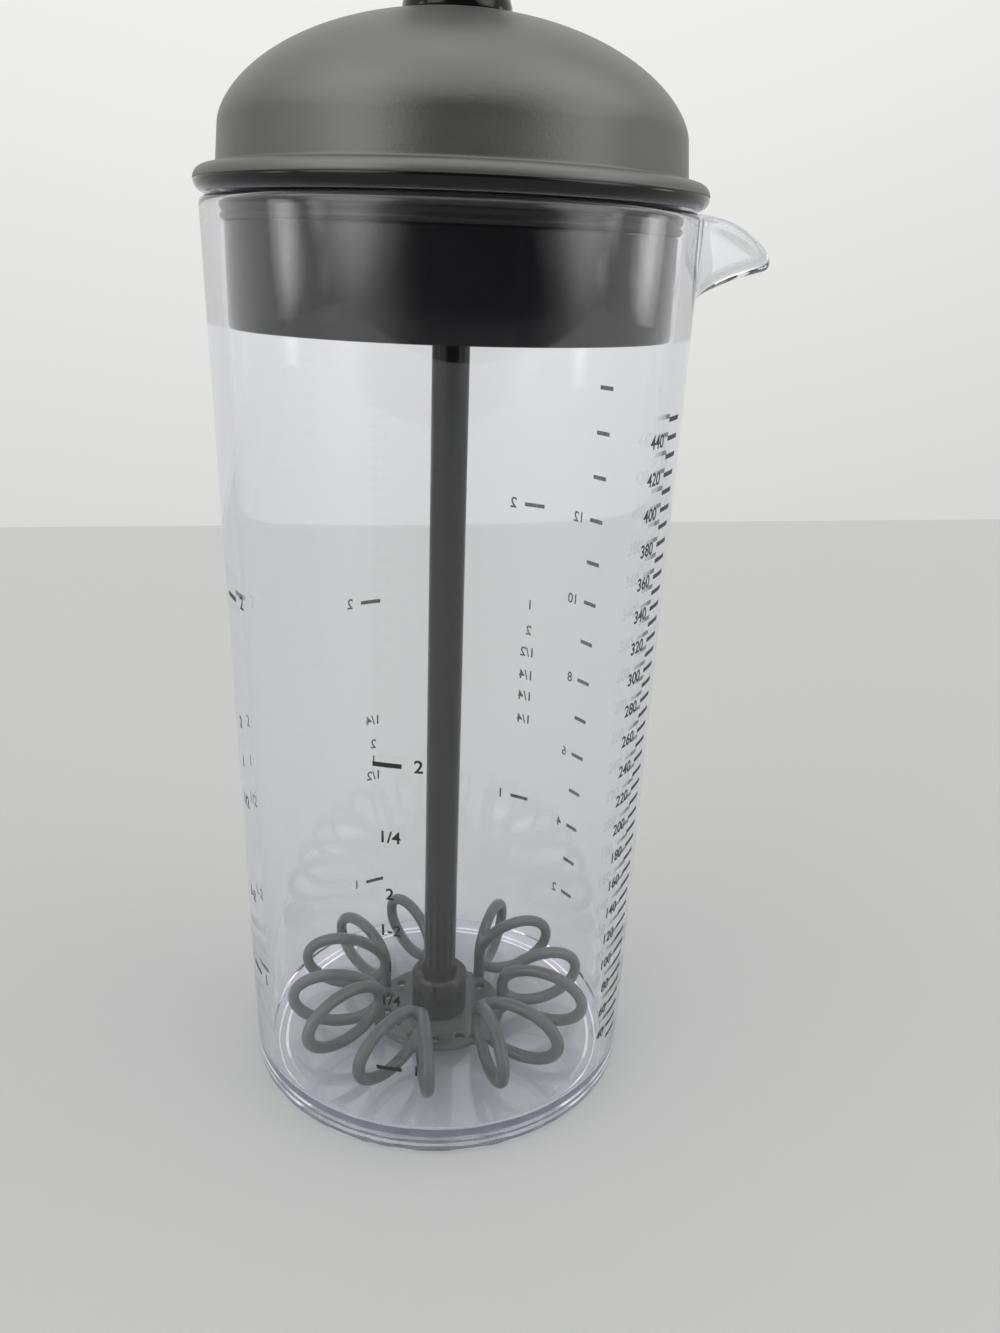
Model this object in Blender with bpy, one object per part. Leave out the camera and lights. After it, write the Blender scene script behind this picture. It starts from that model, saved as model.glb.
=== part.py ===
"""Hand mixing bottle: a clear jar with a pouring lip, a domed turning lid and a plunger whisk.

Run with: blender --background --python part.py
Units are metres and +Z is up. The origin is the centre of the base, on the jar's axis.
The pouring lip points along +X. Every turned piece shares the jar's axis.
"""

import math

import bmesh
import bpy
from mathutils import Matrix, Vector

# Gaps between pieces
FIT_GAP = 0.0003
WELD = 0.000001
CUT_OVERRUN = 0.002

# Jar
JAR_HEIGHT = 0.158
JAR_BASE_RADIUS = 0.0367
JAR_RIM_RADIUS = 0.0398
JAR_WALL = 0.0026
JAR_FLOOR = 0.0036
JAR_EDGE_RADIUS = 0.003
JAR_FLOOR_FILLET = 0.0015
FOOT_WIDTH = 0.0022
FOOT_GROOVE_WIDTH = 0.0022
FOOT_GROOVE_DEPTH = 0.0009
FOOT_GROOVE_DRAFT = 0.0004

# Pouring lip, drawn out of the rim
LIP_REACH = 0.0137
LIP_DROP = 0.0056
LIP_DEPTH = 0.0155
LIP_HALF_ANGLE = math.radians(19.0)
LIP_GROWTH_POWER = 2.3
LIP_DROP_POWER = 2.2

# Lid: rolled flange, parted at its widest line
FLANGE_HEIGHT = 0.0039
FLANGE_OVERHANG = 0.0007
SLEEVE_GAP = 0.00065
SLEEVE_DEPTH = 0.019
SLEEVE_WALL = 0.0022
SLEEVE_EDGE = 0.0004
DECK_DEPTH = 0.0086
DECK_THICKNESS = 0.002
PORT_WIDTH = 0.022
PORT_DECK_LAND = 0.0006

# Seal ring round the sleeve
SEAL_DEPTH = 0.0023
SEAL_HEIGHT = 0.0025
SEAL_WIDTH = 0.00155
SEAL_LIP = 0.0004

# Guide boss in the deck, with its seal ring
BOSS_WALL = 0.0017
BOSS_RISE = 0.0026
BOSS_DROP = 0.0034
BOSS_DRAFT = 0.0004
ROD_SEAL_WIDTH = 0.0027
ROD_SEAL_HEIGHT = 0.003
ROD_SEAL_FLOOR = 0.004

# Dome
DOME_INSET = 0.0035
DOME_STRAIGHT = 0.0058
DOME_RISE = 0.0171
DOME_LEAN = 0.0005
DOME_WALL = 0.002
DOME_RADIUS_POWER = 2.1
DOME_HEIGHT_POWER = 1.67
DOME_SEAT_RADIUS = 0.0092
SPIGOT_DEPTH = 0.0039
SPIGOT_WALL = 0.0018

# Bush in the crown of the dome
BUSH_WALL = 0.0015
BUSH_FLANGE = 0.0022
BUSH_FLANGE_HEIGHT = 0.0012

# Plunger rod and knob
ROD_RADIUS = 0.0032
ROD_END_CHAMFER = 0.0004
KNOB_FOOT_RADIUS = 0.0084
KNOB_FOOT_HEIGHT = 0.0012
KNOB_NECK_RADIUS = 0.0071
KNOB_NECK_HEIGHT = 0.0085
KNOB_HEAD_RADIUS = 0.0112
KNOB_HEAD_HEIGHT = 0.0115
KNOB_CAP = 0.005

# Whisk
WHISK_FLOOR_GAP = 0.0004
DISC_RADIUS = 0.0134
DISC_THICKNESS = 0.0012
DISC_EDGE = 0.0003
HOLE_RADIUS = 0.001
HOLE_CIRCLE_RADIUS = 0.0107
HUB_RADIUS = 0.0056
HUB_HEIGHT = 0.0085
HUB_CHAMFER = 0.0006
HUB_FLOOR = 0.0014
HUB_SPIGOT_RADIUS = 0.0026
HUB_SPIGOT_RECESS = 0.0002
PAIRS = 7
FIRST_PAIR_ANGLE = math.radians(-110.4)
SPLAY = math.radians(22.0)
ROOT_RADIUS = 0.013
LOOP_GAP = 0.0034
LOOP_HEIGHT = 0.0112
BAR_RADIUS = 0.00105
POST_RADIUS = 0.0015
POST_RISE_SHARE = 0.62
POST_SINK_SHARE = 0.8

# How finely the round shapes are divided
ROUND_STEPS = 48
SMALL_ROUND_STEPS = 24
WALL_STEPS = 40
LIP_STEPS = 16
EDGE_STEPS = 4
ARC_STEPS = 4
DOME_STEPS = 8
LOOP_STEPS = 18
BAR_STEPS = 6
HOLE_STEPS = 8
LIP_ROW_SHARES = (0.0, 0.25, 0.45, 0.6, 0.72, 0.82, 0.91, 1.0)

# Heights and radii that follow from the values above
JAR_TAPER = (JAR_RIM_RADIUS - JAR_BASE_RADIUS) / JAR_HEIGHT
LIP_START = JAR_HEIGHT - LIP_DEPTH
SLEEVE_BOTTOM = JAR_HEIGHT - SLEEVE_DEPTH
NARROWEST_BORE = min(JAR_BASE_RADIUS + JAR_TAPER * SLEEVE_BOTTOM, JAR_RIM_RADIUS) - JAR_WALL
SLEEVE_RADIUS = NARROWEST_BORE - SLEEVE_GAP
SEAL_MIDDLE = JAR_HEIGHT - SEAL_DEPTH
SEAL_RADIUS = JAR_BASE_RADIUS + JAR_TAPER * (SEAL_MIDDLE - SEAL_HEIGHT / 2) - JAR_WALL - FIT_GAP
GROOVE_RADIUS = SEAL_RADIUS - SEAL_WIDTH - FIT_GAP
SLEEVE_BORE = SLEEVE_RADIUS - SLEEVE_WALL
FLANGE_BOTTOM = JAR_HEIGHT + FIT_GAP
FLANGE_MIDDLE = FLANGE_BOTTOM + FLANGE_HEIGHT / 2
FLANGE_TOP = FLANGE_BOTTOM + FLANGE_HEIGHT
FLANGE_RADIUS = JAR_RIM_RADIUS + FLANGE_OVERHANG
ROLL_RADIUS = FLANGE_HEIGHT / 2
DECK_BOTTOM = JAR_HEIGHT - DECK_DEPTH
DECK_TOP = DECK_BOTTOM + DECK_THICKNESS
DOME_RADIUS = FLANGE_RADIUS - DOME_INSET
DOME_SPRING = FLANGE_TOP + DOME_STRAIGHT
GUIDE_RADIUS = ROD_RADIUS + FIT_GAP
WHISK_BOTTOM = JAR_FLOOR + WHISK_FLOOR_GAP
DISC_TOP = WHISK_BOTTOM + DISC_THICKNESS
HUB_BOTTOM = DISC_TOP + FIT_GAP
HUB_TOP = HUB_BOTTOM + HUB_HEIGHT
ROD_BOTTOM = HUB_BOTTOM + HUB_FLOOR + FIT_GAP
LOOP_MIDDLE = WHISK_BOTTOM + BAR_RADIUS + LOOP_HEIGHT / 2
LOW_BORE = JAR_BASE_RADIUS + JAR_TAPER * (JAR_FLOOR + JAR_FLOOR_FILLET) - JAR_WALL
LOOP_REACH = LOW_BORE - LOOP_GAP - BAR_RADIUS
ROOT_ASIDE = ROOT_RADIUS * math.sin(SPLAY)
LOOP_LENGTH = math.sqrt(LOOP_REACH**2 - ROOT_ASIDE**2) - ROOT_RADIUS * math.cos(SPLAY)


def material(name, color, roughness, metallic=0.0, transmission=0.0):
    """A Principled material with the finish of one piece."""
    made = bpy.data.materials.new(name)
    made.use_nodes = True
    shader = made.node_tree.nodes["Principled BSDF"]
    shader.inputs["Base Color"].default_value = (*color, 1.0)
    shader.inputs["Roughness"].default_value = roughness
    shader.inputs["Metallic"].default_value = metallic
    shader.inputs["Transmission Weight"].default_value = transmission
    made.diffuse_color = (*color, 1.0)
    return made


def object_from(name, shape, finish=None):
    """Turns a bmesh into a smooth shaded object with outward faces."""
    bmesh.ops.remove_doubles(shape, verts=shape.verts, dist=WELD)
    bmesh.ops.recalc_face_normals(shape, faces=shape.faces)
    mesh = bpy.data.meshes.new(name)
    shape.to_mesh(mesh)
    shape.free()
    mesh.shade_smooth()
    mesh.set_sharp_from_angle(angle=math.radians(32))
    made = bpy.data.objects.new(name, mesh)
    bpy.context.scene.collection.objects.link(made)
    if finish:
        mesh.materials.append(finish)
    return made


def helper_from(name, shape):
    """An object that only cuts or joins, and is not a piece of the bottle."""
    made = object_from(name, shape)
    made.hide_render = True
    made.display_type = "WIRE"
    return made


def arc(center_radius, center_height, radius, start, end, steps=EDGE_STEPS):
    """Points (radius, height) along part of a circle, angles in degrees from +R towards +Z."""
    points = []
    for step in range(steps + 1):
        angle = math.radians(start + (end - start) * step / steps)
        points.append((center_radius + radius * math.cos(angle), center_height + radius * math.sin(angle)))
    return points


def turned(name, profile, finish, steps=ROUND_STEPS):
    """Spins a profile of (radius, height) points once round the Z axis."""
    shape = bmesh.new()
    points = [shape.verts.new((radius, 0.0, height)) for radius, height in profile]
    edges = [shape.edges.new(pair) for pair in zip(points, points[1:])]
    touches_axis = profile[0][0] == 0.0 and profile[-1][0] == 0.0
    if not touches_axis:
        edges.append(shape.edges.new((points[-1], points[0])))
    bmesh.ops.spin(
        shape,
        geom=points + edges,
        cent=(0.0, 0.0, 0.0),
        axis=(0.0, 0.0, 1.0),
        angle=math.tau,
        steps=steps,
    )
    return object_from(name, shape, finish)


def boolean(target, other, operation):
    """Joins a helper to a piece, or cuts it out of the piece."""
    modifier = target.modifiers.new(other.name, "BOOLEAN")
    modifier.operation = operation
    modifier.solver = "EXACT"
    modifier.object = other


def jar_outer_radius(height):
    """Radius of the jar's straight tapered outside."""
    return JAR_BASE_RADIUS + JAR_TAPER * height


def lip_share(angle):
    """How far the lip is drawn out at this angle from +X, from 0 to 1."""
    if abs(angle) >= LIP_HALF_ANGLE:
        return 0.0
    return math.cos(math.pi / 2 * angle / LIP_HALF_ANGLE) ** 2


def wall_middle(angle, share):
    """A point on the middle surface of the wall, from the lip's start (0) to the rim (1)."""
    drawn = lip_share(angle)
    top = JAR_HEIGHT - JAR_WALL / 2 - LIP_DROP * drawn**LIP_DROP_POWER
    height = LIP_START + (top - LIP_START) * share
    growth = max(share, 0.0) ** LIP_GROWTH_POWER
    radius = jar_outer_radius(height) - JAR_WALL / 2 + LIP_REACH * drawn * growth
    return Vector((radius * math.cos(angle), radius * math.sin(angle), height))


def wall_normal(angle, share):
    """The outward direction of the wall's middle surface."""
    small = 0.002
    around = wall_middle(angle + small, share) - wall_middle(angle - small, share)
    upward = wall_middle(angle, share + small) - wall_middle(angle, share - small)
    return around.cross(upward).normalized()


def rim_arc(angle):
    """The rounded edge of the rim at one angle, from outside to inside."""
    small = 0.002
    center = wall_middle(angle, 1.0)
    outward = wall_normal(angle, 1.0)
    around = (wall_middle(angle + small, 1.0) - wall_middle(angle - small, 1.0)).normalized()
    upward = outward.cross(around)
    points = []
    for step in range(1, 2 * EDGE_STEPS - 2):
        turn = math.pi * step / (2 * EDGE_STEPS - 2)
        points.append(center + (outward * math.cos(turn) + upward * math.sin(turn)) * (JAR_WALL / 2))
    return points


def at_angle(profile, angle):
    """Places (radius, height) points in the upright plane at an angle."""
    return [Vector((r * math.cos(angle), r * math.sin(angle), h)) for r, h in profile]


def jar_column(angle):
    """One upright section of the jar: underside, outside, rim, inside and floor."""
    edge_center = jar_outer_radius(JAR_EDGE_RADIUS) - JAR_EDGE_RADIUS
    foot_inner = edge_center - FOOT_WIDTH
    inside = jar_outer_radius(JAR_FLOOR + JAR_FLOOR_FILLET) - JAR_WALL
    fillet_center = inside - JAR_FLOOR_FILLET
    pad_edge = foot_inner - FOOT_GROOVE_WIDTH
    underside = [
        (pad_edge, 0.0),
        (pad_edge + FOOT_GROOVE_DRAFT, FOOT_GROOVE_DEPTH),
        (foot_inner - FOOT_GROOVE_DRAFT, FOOT_GROOVE_DEPTH),
        (foot_inner, 0.0),
    ]
    underside += arc(edge_center, JAR_EDGE_RADIUS, JAR_EDGE_RADIUS, -90, 0)
    floor = arc(fillet_center, JAR_FLOOR + JAR_FLOOR_FILLET, JAR_FLOOR_FILLET, 0, -90)
    half_wall = JAR_WALL / 2
    outside = [wall_middle(angle, s) + wall_normal(angle, s) * half_wall for s in LIP_ROW_SHARES]
    bore = [wall_middle(angle, s) - wall_normal(angle, s) * half_wall for s in reversed(LIP_ROW_SHARES)]
    return at_angle(underside, angle) + outside + rim_arc(angle) + bore + at_angle(floor, angle)


def make_jar():
    """The clear jar: a loft of upright sections, closer together round the lip."""
    finish = material("jar_clear", (0.86, 0.88, 0.95), 0.03, transmission=1.0)
    angles = [LIP_HALF_ANGLE * (2 * step / LIP_STEPS - 1) for step in range(LIP_STEPS)]
    rest = math.tau - 2 * LIP_HALF_ANGLE
    angles += [LIP_HALF_ANGLE + rest * step / WALL_STEPS for step in range(WALL_STEPS)]
    shape = bmesh.new()
    columns = [[shape.verts.new(point) for point in jar_column(angle)] for angle in angles]
    underside_pole = shape.verts.new((0.0, 0.0, 0.0))
    floor_pole = shape.verts.new((0.0, 0.0, JAR_FLOOR))
    for column, following in zip(columns, columns[1:] + columns[:1]):
        for row in range(len(column) - 1):
            shape.faces.new((column[row], following[row], following[row + 1], column[row + 1]))
        shape.faces.new((underside_pole, following[0], column[0]))
        shape.faces.new((floor_pole, column[-1], following[-1]))
    return object_from("jar", shape, finish)


def make_lid_sleeve(finish):
    """Lower half of the rolled flange, with the sleeve that plugs the jar and its deck."""
    groove_top = SEAL_MIDDLE + SEAL_HEIGHT / 2 + FIT_GAP
    groove_bottom = SEAL_MIDDLE - SEAL_HEIGHT / 2 - FIT_GAP
    pocket_radius = GUIDE_RADIUS + ROD_SEAL_WIDTH + FIT_GAP
    boss_radius = pocket_radius + BOSS_WALL
    boss_bottom = DECK_BOTTOM - BOSS_DROP
    pocket_floor = boss_bottom + ROD_SEAL_FLOOR
    profile = [(SLEEVE_BORE, FLANGE_MIDDLE - FIT_GAP / 2)]
    profile += [(FLANGE_RADIUS, FLANGE_MIDDLE - FIT_GAP / 2)]
    profile += arc(FLANGE_RADIUS - ROLL_RADIUS, FLANGE_MIDDLE, ROLL_RADIUS, -12, -90, ARC_STEPS)
    profile += [
        (SLEEVE_RADIUS, FLANGE_BOTTOM),
        (SLEEVE_RADIUS, groove_top),
        (GROOVE_RADIUS, groove_top),
        (GROOVE_RADIUS, groove_bottom),
        (SLEEVE_RADIUS, groove_bottom),
        (SLEEVE_RADIUS, SLEEVE_BOTTOM + SLEEVE_EDGE),
        (SLEEVE_RADIUS - SLEEVE_EDGE, SLEEVE_BOTTOM),
        (SLEEVE_BORE + SLEEVE_EDGE, SLEEVE_BOTTOM),
        (SLEEVE_BORE, SLEEVE_BOTTOM + SLEEVE_EDGE),
        (SLEEVE_BORE, DECK_BOTTOM),
        (boss_radius, DECK_BOTTOM),
        (boss_radius - BOSS_DRAFT, boss_bottom),
        (GUIDE_RADIUS, boss_bottom),
        (GUIDE_RADIUS, pocket_floor),
        (pocket_radius, pocket_floor),
        (pocket_radius, DECK_TOP + BOSS_RISE),
        (boss_radius - BOSS_DRAFT, DECK_TOP + BOSS_RISE),
        (boss_radius, DECK_TOP),
        (SLEEVE_BORE, DECK_TOP),
    ]
    sleeve = turned("lid_sleeve", profile, finish)
    boolean(sleeve, port_cutter(), "DIFFERENCE")
    return sleeve


def port_cutter():
    """A block that opens the back of the sleeve below the deck, on the +Y side."""
    low = SLEEVE_BOTTOM - CUT_OVERRUN
    high = DECK_BOTTOM - PORT_DECK_LAND
    near = SLEEVE_BORE - SLEEVE_WALL - CUT_OVERRUN
    far = SLEEVE_RADIUS + CUT_OVERRUN
    shape = bmesh.new()
    size = Vector((PORT_WIDTH, far - near, high - low))
    center = Vector((0.0, (near + far) / 2, (low + high) / 2))
    placing = Matrix.Translation(center) @ Matrix.Diagonal((*size, 1.0))
    bmesh.ops.create_cube(shape, size=1.0, matrix=placing)
    return helper_from("port_cutter", shape)


def make_lid_seal():
    """Seal ring in the sleeve's groove, with two small lips towards the jar."""
    middle = SEAL_MIDDLE
    inner = SEAL_RADIUS - SEAL_WIDTH
    outer = SEAL_RADIUS
    half = SEAL_HEIGHT / 2
    profile = [
        (inner, middle + half),
        (outer - SEAL_LIP, middle + half),
        (outer, middle + half / 2),
        (outer - SEAL_LIP, middle),
        (outer, middle - half / 2),
        (outer - SEAL_LIP, middle - half),
        (inner, middle - half),
    ]
    return turned("lid_seal", profile, material("seal_rubber", (0.06, 0.06, 0.06), 0.6))


def dome_points(inset):
    """The dome's curve from its spring line to its crown, moved in by an inset."""
    radius = DOME_RADIUS - DOME_LEAN - inset
    rise = DOME_RISE - inset
    points = []
    for step in range(DOME_STEPS + 1):
        turn = math.pi / 2 * step / DOME_STEPS
        across = radius * max(math.cos(turn), 0.0) ** (2 / DOME_RADIUS_POWER)
        points.append((across, DOME_SPRING + rise * math.sin(turn) ** (2 / DOME_HEIGHT_POWER)))
    return points


def dome_height_at(radius, inset):
    """Height of the dome's curve at a radius."""
    across = radius / (DOME_RADIUS - DOME_LEAN - inset)
    share = (1 - across**DOME_RADIUS_POWER) ** (1 / DOME_HEIGHT_POWER)
    return DOME_SPRING + (DOME_RISE - inset) * share


def crown_seat():
    """Height of the flat on top of the dome where the knob rests."""
    return dome_height_at(DOME_SEAT_RADIUS, 0.0)


def crown_hole():
    """Radius of the hole in the crown."""
    return GUIDE_RADIUS + BUSH_WALL + FIT_GAP


def make_lid_dome():
    """Hollow dome with the upper half of the rolled flange and a spigot into the sleeve."""
    seat = crown_seat()
    spigot_radius = SLEEVE_BORE - FIT_GAP
    spigot_bottom = FLANGE_MIDDLE - SPIGOT_DEPTH
    inner_radius = DOME_RADIUS - DOME_WALL
    profile = [(FLANGE_RADIUS, FLANGE_MIDDLE + FIT_GAP / 2)]
    profile += arc(FLANGE_RADIUS - ROLL_RADIUS, FLANGE_MIDDLE, ROLL_RADIUS, 12, 90, ARC_STEPS)
    profile += [(DOME_RADIUS, FLANGE_TOP)]
    profile += [point for point in dome_points(0.0) if point[0] > DOME_SEAT_RADIUS]
    profile += [(DOME_SEAT_RADIUS, seat), (crown_hole(), seat)]
    profile += [(crown_hole(), seat - DOME_WALL)]
    inner_curve = dome_points(DOME_WALL)
    profile += [p for p in reversed(inner_curve) if p[0] > DOME_SEAT_RADIUS and p[1] < seat - DOME_WALL]
    profile += [
        (inner_radius, FLANGE_TOP),
        (spigot_radius - SPIGOT_WALL, FLANGE_MIDDLE),
        (spigot_radius - SPIGOT_WALL, spigot_bottom),
        (spigot_radius - SLEEVE_EDGE, spigot_bottom),
        (spigot_radius, spigot_bottom + SLEEVE_EDGE),
        (spigot_radius, FLANGE_MIDDLE + FIT_GAP / 2),
    ]
    finish = material("lid_matte", (0.055, 0.055, 0.052), 0.5)
    return turned("lid_dome", profile, finish)


def make_rod_bush(finish):
    """Flanged bush pressed up into the crown, which guides the rod."""
    outer = GUIDE_RADIUS + BUSH_WALL
    ceiling = crown_seat() - DOME_WALL - FIT_GAP
    profile = [
        (GUIDE_RADIUS, crown_seat() - FIT_GAP),
        (outer, crown_seat() - FIT_GAP),
        (outer, ceiling),
        (outer + BUSH_FLANGE, ceiling),
        (outer + BUSH_FLANGE, ceiling - BUSH_FLANGE_HEIGHT),
        (GUIDE_RADIUS, ceiling - BUSH_FLANGE_HEIGHT),
    ]
    return turned("rod_bush", profile, finish, SMALL_ROUND_STEPS)


def make_rod_seal():
    """Seal ring in the deck's pocket, round the rod."""
    floor = DECK_BOTTOM - BOSS_DROP + ROD_SEAL_FLOOR + FIT_GAP
    outer = GUIDE_RADIUS + ROD_SEAL_WIDTH
    top = floor + ROD_SEAL_HEIGHT
    profile = [
        (GUIDE_RADIUS, top - SEAL_LIP),
        (GUIDE_RADIUS + SEAL_LIP, top),
        (outer - SEAL_LIP, top),
        (outer, top - SEAL_LIP),
        (outer, floor),
        (GUIDE_RADIUS, floor),
    ]
    finish = material("rod_seal_rubber", (0.06, 0.06, 0.06), 0.6)
    return turned("rod_seal", profile, finish, SMALL_ROUND_STEPS)


def knob_bottom():
    """Height of the knob's foot above its seat on the crown."""
    return crown_seat() + FIT_GAP


def rod_top():
    """The rod ends inside the knob, below its cap."""
    return knob_bottom() + KNOB_FOOT_HEIGHT + KNOB_NECK_HEIGHT + KNOB_HEAD_HEIGHT - KNOB_CAP


def make_plunger_rod(finish):
    """Plain round rod from the whisk hub up into the knob."""
    top = rod_top()
    profile = [
        (0.0, top),
        (ROD_RADIUS - ROD_END_CHAMFER, top),
        (ROD_RADIUS, top - ROD_END_CHAMFER),
        (ROD_RADIUS, ROD_BOTTOM + ROD_END_CHAMFER),
        (ROD_RADIUS - ROD_END_CHAMFER, ROD_BOTTOM),
        (0.0, ROD_BOTTOM),
    ]
    return turned("plunger_rod", profile, finish, SMALL_ROUND_STEPS)


def make_knob(finish):
    """Push knob: a foot on the crown, a waisted neck and a rounded head."""
    foot = knob_bottom()
    neck = foot + KNOB_FOOT_HEIGHT
    head = neck + KNOB_NECK_HEIGHT
    half_head = KNOB_HEAD_HEIGHT / 2
    swell = KNOB_FOOT_RADIUS - KNOB_NECK_RADIUS
    profile = [(0.0, head + KNOB_HEAD_HEIGHT)]
    for step in range(1, 2 * ARC_STEPS):
        turn = math.pi / 2 - math.pi * 0.86 * step / (2 * ARC_STEPS)
        radius = KNOB_NECK_RADIUS + (KNOB_HEAD_RADIUS - KNOB_NECK_RADIUS) * math.cos(turn)
        if turn > 0:
            radius = KNOB_HEAD_RADIUS * math.cos(turn) ** 0.7
        profile.append((radius, head + half_head + half_head * math.sin(turn)))
    profile += [(KNOB_NECK_RADIUS, head)]
    for share in (0.75, 0.5, 0.25, 0.0):
        profile.append((KNOB_NECK_RADIUS + swell * (1 - share) ** 2, neck + KNOB_NECK_HEIGHT * share))
    profile += [
        (KNOB_FOOT_RADIUS, foot),
        (GUIDE_RADIUS, foot),
        (GUIDE_RADIUS, rod_top() + FIT_GAP),
        (0.0, rod_top() + FIT_GAP),
    ]
    return turned("knob", profile, finish, SMALL_ROUND_STEPS)


def make_whisk_hub(finish):
    """Socket for the rod's lower end, with a spigot through the whisk's disc."""
    profile = [
        (0.0, ROD_BOTTOM - FIT_GAP),
        (GUIDE_RADIUS, ROD_BOTTOM - FIT_GAP),
        (GUIDE_RADIUS, HUB_TOP),
        (HUB_RADIUS - HUB_CHAMFER, HUB_TOP),
        (HUB_RADIUS, HUB_TOP - HUB_CHAMFER),
        (HUB_RADIUS, HUB_BOTTOM),
        (HUB_SPIGOT_RADIUS, HUB_BOTTOM),
        (HUB_SPIGOT_RADIUS, WHISK_BOTTOM + HUB_SPIGOT_RECESS),
        (0.0, WHISK_BOTTOM + HUB_SPIGOT_RECESS),
    ]
    return turned("whisk_hub", profile, finish, SMALL_ROUND_STEPS)


def pair_angles():
    """Angles of the whisk's roots, each of which carries two loops."""
    return [FIRST_PAIR_ANGLE + math.tau * index / PAIRS for index in range(PAIRS)]


def add_loop(shape, root_angle, splay):
    """Adds one closed oval bar that stands upright and reaches out from its root."""
    root = Vector((ROOT_RADIUS * math.cos(root_angle), ROOT_RADIUS * math.sin(root_angle), LOOP_MIDDLE))
    outward = Vector((math.cos(root_angle + splay), math.sin(root_angle + splay), 0.0))
    upward = Vector((0.0, 0.0, 1.0))
    sideways = outward.cross(upward)
    rings = []
    for step in range(LOOP_STEPS):
        turn = math.tau * step / LOOP_STEPS
        along = -LOOP_LENGTH / 2 * math.cos(turn)
        rise = LOOP_HEIGHT / 2 * math.sin(turn)
        center = root + outward * (LOOP_LENGTH / 2 + along) + upward * rise
        away = (outward * along / LOOP_LENGTH**2 + upward * rise / LOOP_HEIGHT**2).normalized()
        ring = []
        for side in range(BAR_STEPS):
            spin = math.tau * side / BAR_STEPS
            across = away * math.cos(spin) + sideways * math.sin(spin)
            ring.append(shape.verts.new(center + across * BAR_RADIUS))
        rings.append(ring)
    for ring, following in zip(rings, rings[1:] + rings[:1]):
        for side in range(BAR_STEPS):
            after = (side + 1) % BAR_STEPS
            shape.faces.new((ring[side], ring[after], following[after], following[side]))


def loops_helper(name, splay):
    """One loop of every pair, all splayed to the same side."""
    shape = bmesh.new()
    for angle in pair_angles():
        add_loop(shape, angle, splay)
    return helper_from(name, shape)


def round_bars(name, angles, circle_radius, bar_radius, low, high, steps):
    """Upright round bars on a circle, as one helper."""
    shape = bmesh.new()
    for angle in angles:
        place = Vector((circle_radius * math.cos(angle), circle_radius * math.sin(angle), (low + high) / 2))
        bmesh.ops.create_cone(
            shape,
            cap_ends=True,
            segments=steps,
            radius1=bar_radius,
            radius2=bar_radius,
            depth=high - low,
            matrix=Matrix.Translation(place),
        )
    return helper_from(name, shape)


def make_whisk_head():
    """Disc with drain holes, seven root posts and fourteen upright loops in pairs."""
    finish = material("whisk_plastic", (0.13, 0.14, 0.13), 0.38)
    hole = HUB_SPIGOT_RADIUS + FIT_GAP
    profile = [
        (hole, DISC_TOP),
        (DISC_RADIUS - DISC_EDGE, DISC_TOP),
        (DISC_RADIUS, DISC_TOP - DISC_EDGE),
        (DISC_RADIUS, WHISK_BOTTOM),
        (hole, WHISK_BOTTOM),
    ]
    whisk = turned("whisk_head", profile, finish, SMALL_ROUND_STEPS)
    post_low = WHISK_BOTTOM + DISC_THICKNESS * (1 - POST_SINK_SHARE)
    post_high = LOOP_MIDDLE + LOOP_HEIGHT / 2 * POST_RISE_SHARE
    posts = round_bars("root_posts", pair_angles(), ROOT_RADIUS - BAR_RADIUS, POST_RADIUS, post_low, post_high, 8)
    boolean(whisk, posts, "UNION")
    boolean(whisk, loops_helper("loops_to_one_side", SPLAY), "UNION")
    boolean(whisk, loops_helper("loops_to_other_side", -SPLAY), "UNION")
    between = math.tau / PAIRS / 4
    hole_angles = [a + turn for a in pair_angles() for turn in (-between, between)]
    low = WHISK_BOTTOM - CUT_OVERRUN
    high = DISC_TOP + CUT_OVERRUN
    holes = round_bars("hole_cutters", hole_angles, HOLE_CIRCLE_RADIUS, HOLE_RADIUS, low, high, HOLE_STEPS)
    boolean(whisk, holes, "DIFFERENCE")
    return whisk


def axis_empty(name, height, pieces):
    """An empty on the shared axis that carries the pieces that move together."""
    empty = bpy.data.objects.new(name, None)
    bpy.context.scene.collection.objects.link(empty)
    empty.location = (0.0, 0.0, height)
    for piece in pieces:
        piece.parent = empty
        piece.location = (0.0, 0.0, -height)
    return empty


def clear_scene():
    """Removes the objects of the startup scene."""
    for old in list(bpy.data.objects):
        bpy.data.objects.remove(old)


def main():
    clear_scene()
    gloss = material("gloss_black", (0.012, 0.012, 0.014), 0.12)
    make_jar()
    lid = [make_lid_dome(), make_lid_sleeve(gloss), make_rod_bush(gloss)]
    plunger = [make_plunger_rod(gloss), make_knob(gloss), make_whisk_hub(gloss), make_whisk_head()]
    axis_empty("lid_axis", JAR_HEIGHT, lid + [make_lid_seal()])
    axis_empty("plunger_axis", crown_seat(), plunger + [make_rod_seal()])


main()
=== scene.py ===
# %% [markdown]
# This lesson dresses a hand mixing bottle: a clear jar with a pouring lip, a dark domed lid that
# turns and lifts off, and a plunger with a looped whisk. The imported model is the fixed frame, in
# metres, with +Z up and the lip along +X. Each new piece is made where its CAD node is, and rides
# on its body.

# %% Load the frame
import math

import bpy
from mathutils import Matrix, Vector


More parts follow.
